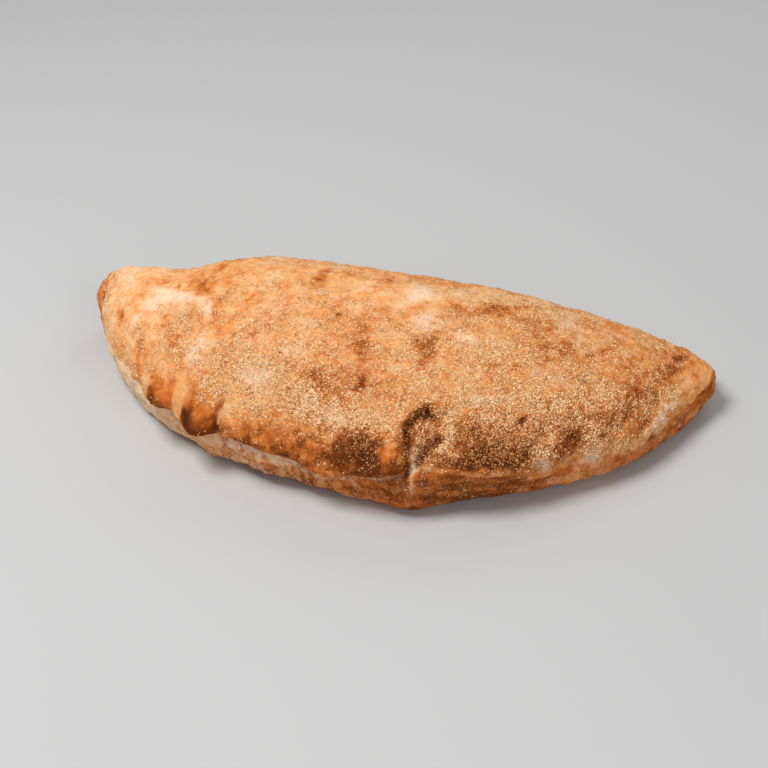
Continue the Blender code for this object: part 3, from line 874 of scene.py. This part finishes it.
def dusting(points, along, over, hem):
    """How thickly semolina lies, 0 to 1."""
    drifts = 0.25 * layered(points, 14, 121) + 0.22 * crisp(layered(points, 5, 131))
    thick = PLAIN_MEAL + drifts + spotted(MEAL, along, over)
    above = above_seam(along, over)
    thick *= 1 - 0.6 * bell(above - 0.5, 3)
    thick *= 1 - 0.7 * np.clip(pinch_share(points, along, over), 0, 1)
    bare = 0.8 - 0.40 * bell(along - 47, 22)
    return np.clip(thick * (1 - bare * hem) * step(over, 3, 9), 0, 1)


# ---- materials


def new_material(name):
    material = bpy.data.materials.new(name)
    material.use_nodes = True
    tree = material.node_tree
    return material, tree, tree.nodes["Principled BSDF"]


def feed(tree, node, inputs):
    """Sets a node's inputs: each is a value, or an output socket to link from."""
    for name, value in inputs.items():
        if isinstance(value, bpy.types.NodeSocket):
            tree.links.new(value, node.inputs[name])
        else:
            node.inputs[name].default_value = value


def add_node(tree, kind, settings=None, inputs=None):
    node = tree.nodes.new(kind)
    for name, value in (settings or {}).items():
        setattr(node, name, value)
    feed(tree, node, inputs or {})
    return node


def math_node(tree, operation, first, second=0.0, third=0.0):
    inputs = {0: first, 1: second, 2: third}
    return add_node(tree, "ShaderNodeMath", {"operation": operation}, inputs).outputs[0]


def mix_colour(tree, share, first, second, blend="MIX"):
    inputs = {0: share, 6: first, 7: second}
    settings = {"data_type": "RGBA", "blend_type": blend}
    return add_node(tree, "ShaderNodeMix", settings, inputs).outputs[2]


def ranged(tree, value, low, high, to_low=0.0, to_high=1.0):
    inputs = {"Value": value, "From Min": low, "From Max": high, "To Min": to_low, "To Max": to_high}
    return add_node(tree, "ShaderNodeMapRange", {"clamp": True}, inputs).outputs[0]


def noise_node(tree, places, swing, detail=2.0, distortion=0.0):
    """Noise with a swing in mm, 0 to 1."""
    inputs = {"Vector": places, "Scale": 1 / (swing * MM), "Detail": detail, "Distortion": distortion}
    return add_node(tree, "ShaderNodeTexNoise", inputs=inputs).outputs["Fac"]


def attribute(tree, name, output="Fac"):
    return add_node(tree, "ShaderNodeAttribute", {"attribute_name": name}).outputs[output]


def crust_material():
    material, tree, shader = new_material("baked_crust")
    places = add_node(tree, "ShaderNodeTexCoord").outputs["Object"]
    base = attribute(tree, "crust_colour", "Color")
    meal = attribute(tree, "meal")
    flecks = attribute(tree, "flecks")
    paler = attribute(tree, "fleck_colour", "Color")
    mottle = noise_node(tree, places, 2.4, 3.0)
    bends = noise_node(tree, places, 2.6, 0.0, 0.9)
    grit = noise_node(tree, places, 1.3, 1.0, 0.5)
    fine = noise_node(tree, places, 0.6, 2.0)
    off_bend = math_node(tree, "ABSOLUTE", math_node(tree, "SUBTRACT", bends, 0.5))
    curl = math_node(tree, "MULTIPLY", ranged(tree, off_bend, 0.09, 0.03), ranged(tree, grit, 0.44, 0.53))
    fleck = math_node(tree, "MAXIMUM", curl, ranged(tree, grit, 0.60, 0.68))
    gap = math_node(tree, "SUBTRACT", ranged(tree, grit, 0.52, 0.36), fleck)
    gap = math_node(tree, "MAXIMUM", gap, 0.0)
    mottle_share = ranged(tree, mottle, 0.40, 0.66, 0.0, 0.40)
    mottled = mix_colour(tree, mottle_share, base, (*MOTTLE_TINT, 1), "MULTIPLY")
    deep = math_node(tree, "MULTIPLY", gap, ranged(tree, meal, 0.15, 1.0, 0.04, 1.0))
    pitted = mix_colour(tree, deep, mottled, (*GAP_TINT, 1), "MULTIPLY")
    flecked = mix_colour(tree, math_node(tree, "MULTIPLY", fleck, flecks), pitted, paler)
    uneven = ranged(tree, meal, 0.0, 0.3, 0.35, 1.2)
    off_grit = math_node(tree, "SUBTRACT", grit, 0.5)
    broken = math_node(tree, "MULTIPLY_ADD", off_grit, uneven, attribute(tree, "flour"))
    film = ranged(tree, broken, 0.15, 0.85, 0.0, 0.9)
    floured = mix_colour(tree, film, flecked, (*linear(FLOUR_COLOUR), 1))
    height = math_node(tree, "MULTIPLY_ADD", fleck, math_node(tree, "MULTIPLY", flecks, 1.3), fine)
    height = math_node(tree, "MULTIPLY_ADD", mottle, 0.8, height)
    height = math_node(tree, "MULTIPLY_ADD", deep, -0.6, height)
    bump = add_node(tree, "ShaderNodeBump", inputs={"Distance": BUMP_HEIGHT, "Height": height})
    feed(tree, shader, {"Base Color": floured, "Normal": bump.outputs[0], **CRUST_FINISH})
    return material


def grain_material(name, tones, roughness):
    """Grains whose colours run through the tones by each grain's own tone, 0 to 1."""
    material, tree, shader = new_material(name)
    ramp = add_node(tree, "ShaderNodeValToRGB", inputs={"Fac": attribute(tree, "tone")})
    elements = ramp.color_ramp.elements
    while len(elements) < len(tones):
        elements.new(0.5)
    for element, place, tone in zip(elements, np.linspace(0, 1, len(tones)), tones):
        element.position = place
        element.color = (*linear(tone), 1)
    inputs = {"Base Color": ramp.outputs["Color"], "Roughness": roughness, "Specular IOR Level": 0.15}
    feed(tree, shader, inputs)
    return material


# ---- making the pieces


def add_object(name, data):
    made = bpy.data.objects.new(name, data)
    bpy.context.scene.collection.objects.link(made)
    return made


def add_piece(name, mesh, material):
    mesh.materials.append(material)
    piece = add_object(name, mesh)
    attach(piece, "root")
    return piece


def store(mesh, name, values):
    """Values per point, as a float or a colour attribute."""
    kind = "FLOAT_COLOR" if values.ndim == 2 else "FLOAT"
    layer = mesh.attributes.new(name, kind, "POINT")
    if values.ndim == 2:
        opaque = np.hstack((values, np.ones((len(values), 1))))
        layer.data.foreach_set("color", opaque.astype(np.float32).ravel())
    else:
        layer.data.foreach_set("value", values.astype(np.float32))


def with_ends(values):
    """Grid values as one list, followed by the two tips' values."""
    flat = values.reshape(-1, *values.shape[2:])
    return np.concatenate((flat, values[:1].mean(axis=1), values[-1:].mean(axis=1)))


def lying_turns(chance, normals):
    """Rotation matrices that lay z along each normal, with x in a random direction, a little tipped."""
    up = normals + GRAIN_TIP * chance.normal(size=normals.shape)
    up /= np.linalg.norm(up, axis=1, keepdims=True)
    ahead = np.cross(chance.normal(size=normals.shape), up)
    ahead /= np.linalg.norm(ahead, axis=1, keepdims=True)
    return np.stack((ahead, np.cross(up, ahead), up), axis=2)


def nearest(along, over, places):
    """The grid point nearest each (along, over)."""
    flat = np.stack((along.ravel(), over.ravel()), axis=1)
    return np.array([((flat - place) ** 2).sum(axis=1).argmin() for place in places])


def scattered(name, grid, thickness, tones, count, sizes, sunk, seed, placed=()):
    """One mesh of small uneven grains: more where the thickness is greater, and one at each placed point.

    Each takes its tone, 0 dark to 1 pale, from the tones of the grid round it.
    """
    chance = np.random.default_rng(seed)
    normals = grid_normals(grid).reshape(-1, 3)
    along = np.gradient(grid, axis=0)
    around = (np.roll(grid, -1, axis=1) - np.roll(grid, 1, axis=1)) / 2
    area = np.linalg.norm(np.cross(along, around), axis=2)
    share = np.cumsum((area * thickness).ravel())
    picked = np.searchsorted(share, chance.random(count) * share[-1])
    shift = chance.uniform(-0.5, 0.5, (count, 2))
    base = grid.reshape(-1, 3)[picked]
    base = base + along.reshape(-1, 3)[picked] * shift[:, :1] + around.reshape(-1, 3)[picked] * shift[:, 1:]
    size = sizes[0] + (sizes[1] - sizes[0]) * chance.random(count) ** 2
    if len(placed):
        places, placed_sizes = placed
        picked = np.concatenate((picked, places))
        base = np.concatenate((base, grid.reshape(-1, 3)[places]))
        size = np.concatenate((size, placed_sizes))
        count = len(size)
    corners, faces = GRAIN_CORNERS, GRAIN_FACES
    dents = chance.uniform(*GRAIN_DENTS, (count, len(corners), 1))
    stretch = GRAIN_SHAPE * chance.uniform(*GRAIN_SQUEEZE, (count, 1, 3))
    turns = lying_turns(chance, normals[picked])
    shaped = np.einsum("nij,nkj->nki", turns, corners[None] * dents * stretch)
    shaped = shaped * (size / 2)[:, None, None] * MM
    shaped = shaped + (base + normals[picked] * (size * (0.5 - sunk))[:, None] * MM)[:, None]
    mesh = bpy.data.meshes.new(name)
    all_faces = (faces[None] + np.arange(count)[:, None, None] * len(corners)).reshape(-1, 3)
    mesh.from_pydata(shaped.reshape(-1, 3).tolist(), [], all_faces.tolist())
    tone = tones.ravel()[picked] + TONE_SPREAD * chance.uniform(-0.5, 0.5, count)
    store(mesh, "tone", np.repeat(np.clip(tone, 0, 1), len(corners)))
    # In the UV map each grain has a cell of its own, with all its faces stacked in it.
    side = math.ceil(count**0.5)
    cells = np.stack((np.arange(count) % side, np.arange(count) // side), axis=1)
    rim = np.array([(0.1, 0.1), (0.9, 0.1), (0.1, 0.9)])
    uv = (cells[:, None, None] + rim[None, None]) / side
    layer = mesh.uv_layers.new(name="OFBake")
    layer.data.foreach_set("uv", np.broadcast_to(uv, (count, len(faces), 3, 2)).ravel())
    mesh.shade_smooth()
    return mesh


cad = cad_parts["calzone"]
smooth_grid = crust_grid(cad)
along = smooth_grid[..., 0] / MM
over = girth_run(smooth_grid)
grid = raised(smooth_grid, along, over)
ends = np.array([grid[0].mean(axis=0), grid[-1].mean(axis=0)])
ends[0, 0] = CAD_BOUNDS[0][0]
ends[1, 0] = CAD_BOUNDS[1][0]
colour, baked, hem, flour = crust_paint(smooth_grid, along, over)
meal = dusting(smooth_grid, along, over, hem)
crust_mesh = grid_mesh("crust", grid, ends)
layers = {
    "crust_colour": colour,
    "meal": meal,
    "flour": flour,
    "flecks": 0.08 + 0.92 * meal,
    "fleck_colour": linear(FLECK_SHARE * srgb(colour) + FLECK_LIFT),
}
for name, values in layers.items():
    store(crust_mesh, name, with_ends(values))
crust = add_piece("crust", crust_mesh, crust_material())
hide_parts("calzone")

places = nearest(along, over, [place[:2] for place in CRUMBS])
crumbs = (places, np.array([place[2] for place in CRUMBS]))
faces_back = grid_normals(grid)[..., 1]
settled = meal * (1 - 0.85 * step(faces_back, *FACING_BACK)) * step(grid[..., 2] / MM, *OFF_GROUND)
pale_tones = 0.85 - 0.75 * step(baked, 0.45, 0.95)
for name, slot, thickness, tones, roughness, how in (
    ("semolina", "semolina", settled**2, SEMOLINA_TONES, 0.5, {**SEMOLINA, "placed": crumbs}),
    ("toasted_meal", "toasted_meal", settled * step(baked, 0.4, 0.9), TOASTED_TONES, 0.55, TOASTED),
    ("charred_crumbs", "toasted_meal", settled * step(baked, 0.6, 0.9), CHARRED_TONES, 0.7, CHARRED),
):
    mesh = scattered(name, grid, thickness, pale_tones, **how)
    add_piece(name, mesh, grain_material(name, tones, roughness))


# ---- the studio


def make_camera():
    data = bpy.data.cameras.new("camera")
    data.lens = CAMERA_LENS
    camera = add_object("camera", data)
    forward = Vector(CAMERA_FORWARD).normalized()
    right = forward.cross(Vector((0, 0, 1))).normalized()
    turn = Matrix((right, right.cross(forward), -forward)).transposed()
    camera.matrix_world = Matrix.Translation(CAMERA_PLACE) @ turn.to_4x4()
    bpy.context.scene.camera = camera


def add_light(name, place, size, power):
    data = bpy.data.lights.new(name, "AREA")
    data.shape = "DISK"
    data.size = size
    data.energy = power
    light = add_object(name, data)
    light.location = place
    light.rotation_euler = (Vector(LIGHTS_TARGET) - Vector(place)).to_track_quat("-Z", "Y").to_euler()


def make_floor():
    mesh = bpy.data.meshes.new("floor")
    corners = [(x * FLOOR_HALF, y * FLOOR_HALF, 0) for x, y in ((-1, -1), (1, -1), (1, 1), (-1, 1))]
    mesh.from_pydata(corners, [], [(0, 1, 2, 3)])
    floor = add_object("floor", mesh)
    material, tree, shader = new_material("floor")
    feed(tree, shader, {"Base Color": (*[FLOOR_GREY] * 3, 1), "Roughness": 0.8})
    mesh.materials.append(material)


def make_world():
    world = bpy.data.worlds.new("studio")
    bpy.context.scene.world = world
    world.use_nodes = True
    tree = world.node_tree
    feed(tree, tree.nodes["Background"], {"Color": (1, 1, 1, 1), "Strength": WORLD_LIGHT})


make_camera()
make_floor()
make_world()
for light in LIGHTS:
    add_light(*light)
bpy.context.scene.view_settings.view_transform = "Standard"
